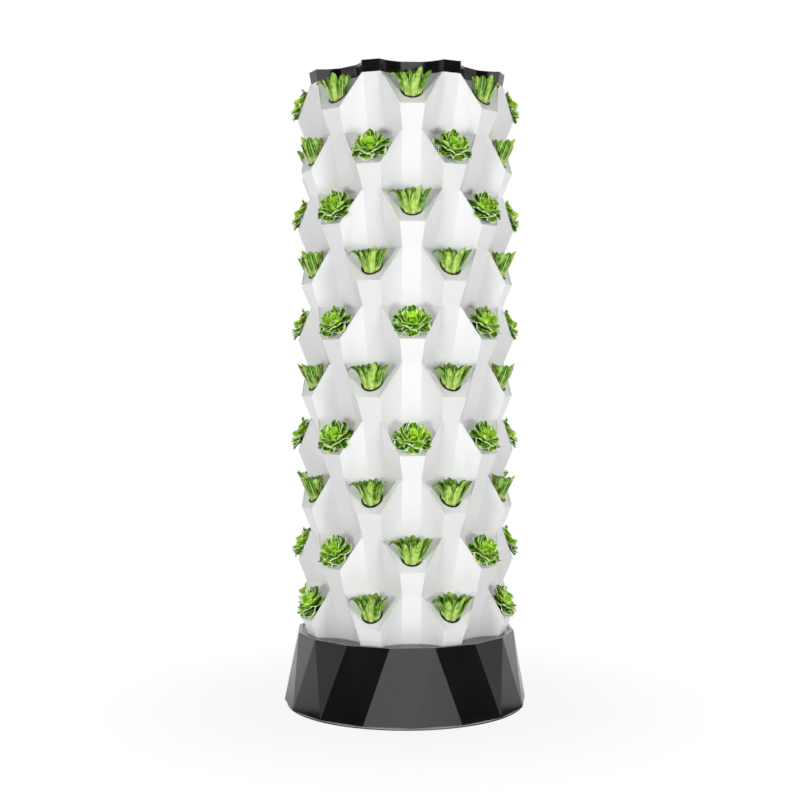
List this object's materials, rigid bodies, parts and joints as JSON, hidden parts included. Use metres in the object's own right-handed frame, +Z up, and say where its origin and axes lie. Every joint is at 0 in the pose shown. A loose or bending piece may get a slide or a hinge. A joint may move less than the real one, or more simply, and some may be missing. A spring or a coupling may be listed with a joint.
{
  "type": "vertical planter tower",
  "caption": "Stacked planting tiers with angled pockets on a faceted water tank, a pump and riser inside, closed by a fluted cap.",
  "frame": {"origin": "centre of the foot plate's underside, on the floor under the tower's axis", "axes": "+Z up the tower's axis, -Y towards the front pocket of the top tier"},
  "size_m": [0.758, 0.758, 1.9462],
  "materials": {
    "shell": "smooth moulded, satin gloss",
    "black": "smooth moulded, semi-gloss",
    "cover": "smooth moulded, satin",
    "cup": "moulded mesh",
    "leaf": "fresh lettuce leaf",
    "pipe": "extruded pipe",
    "pump": "fine moulded grain",
    "blade": "moulded",
    "steel": "ground shaft",
    "rubber": "soft matt"
  },
  "bodies": {
    "tower": {"foot_plate": "black", "tank": "black", "tank_cover": "cover", "cable_grommet": "rubber", "drain_plug": "black", "drain_seal": "rubber", "drain_nut": "black", "pump_body": "pump", "pump_shaft": "steel", "pump_cover": "pump", "pump_strainer": "pump", "riser_sleeve": "pump", "riser_lower": "pipe", "riser_coupler": "pipe", "riser_upper": "pipe", "tier_01": "shell", "tier_02": "shell", "tier_03": "shell", "tier_04": "shell", "tier_05": "shell", "tier_06": "shell", "tier_07": "shell", "tier_08": "shell", "tier_09": "shell", "tier_10": "shell"},
    "cap": {"top_cap": "black"},
    "tray": {"drip_tray": "cover", "spray_head": "cover"},
    "filler": {"filler_cap": "black"},
    "impeller": {"pump_impeller": "blade"},
    "cup_01": {"net_cup_01": "cup", "lettuce_01": "leaf"},
    "cup_02": {"net_cup_02": "cup", "lettuce_02": "leaf"},
    "cup_03": {"net_cup_03": "cup", "lettuce_03": "leaf"},
    "cup_04": {"net_cup_04": "cup", "lettuce_04": "leaf"},
    "cup_05": {"net_cup_05": "cup", "lettuce_05": "leaf"},
    "cup_06": {"net_cup_06": "cup", "lettuce_06": "leaf"},
    "cup_07": {"net_cup_07": "cup", "lettuce_07": "leaf"},
    "cup_08": {"net_cup_08": "cup", "lettuce_08": "leaf"},
    "cup_09": {"net_cup_09": "cup", "lettuce_09": "leaf"},
    "cup_10": {"net_cup_10": "cup", "lettuce_10": "leaf"}
  },
  "joints": [
    {"name": "cap_lift", "type": "slide", "parent": "tower", "child": "cap", "axis": [0, 0, 1], "range_m": [0, 0.3]},
    {"name": "tray_lift", "type": "slide", "parent": "tower", "child": "tray", "axis": [0, 0, 1], "range_m": [0, 0.15]},
    {"name": "filler_turn", "type": "hinge", "parent": "tower", "child": "filler", "pos_m": [0, 0.28801, 0.229], "axis": [0, 0, 1], "range_deg": [0, 90]},
    {"name": "impeller_spin", "type": "hinge", "parent": "tower", "child": "impeller", "pos_m": [0, 0, 0.0543], "axis": [0, -1, 0], "continuous": true},
    {"name": "cup_pull_01", "type": "slide", "parent": "tower", "child": "cup_01", "axis": [0.3004, -0.7253, 0.6194], "range_m": [0, 0.065]},
    {"name": "cup_pull_02", "type": "slide", "parent": "tower", "child": "cup_02", "axis": [0, -0.7851, 0.6194], "range_m": [0, 0.065]},
    {"name": "cup_pull_03", "type": "slide", "parent": "tower", "child": "cup_03", "axis": [0.3004, -0.7253, 0.6194], "range_m": [0, 0.065]},
    {"name": "cup_pull_04", "type": "slide", "parent": "tower", "child": "cup_04", "axis": [0, -0.7851, 0.6194], "range_m": [0, 0.065]},
    {"name": "cup_pull_05", "type": "slide", "parent": "tower", "child": "cup_05", "axis": [0.3004, -0.7253, 0.6194], "range_m": [0, 0.065]},
    {"name": "cup_pull_06", "type": "slide", "parent": "tower", "child": "cup_06", "axis": [0, -0.7851, 0.6194], "range_m": [0, 0.065]},
    {"name": "cup_pull_07", "type": "slide", "parent": "tower", "child": "cup_07", "axis": [0.3004, -0.7253, 0.6194], "range_m": [0, 0.065]},
    {"name": "cup_pull_08", "type": "slide", "parent": "tower", "child": "cup_08", "axis": [0, -0.7851, 0.6194], "range_m": [0, 0.065]},
    {"name": "cup_pull_09", "type": "slide", "parent": "tower", "child": "cup_09", "axis": [0.3004, -0.7253, 0.6194], "range_m": [0, 0.065]},
    {"name": "cup_pull_10", "type": "slide", "parent": "tower", "child": "cup_10", "axis": [0, -0.7851, 0.6194], "range_m": [0, 0.065]}
  ],
  "couplings": [
    {"joint": "tray_lift", "follows": "cap_lift", "ratio": 0.5}
  ]
}
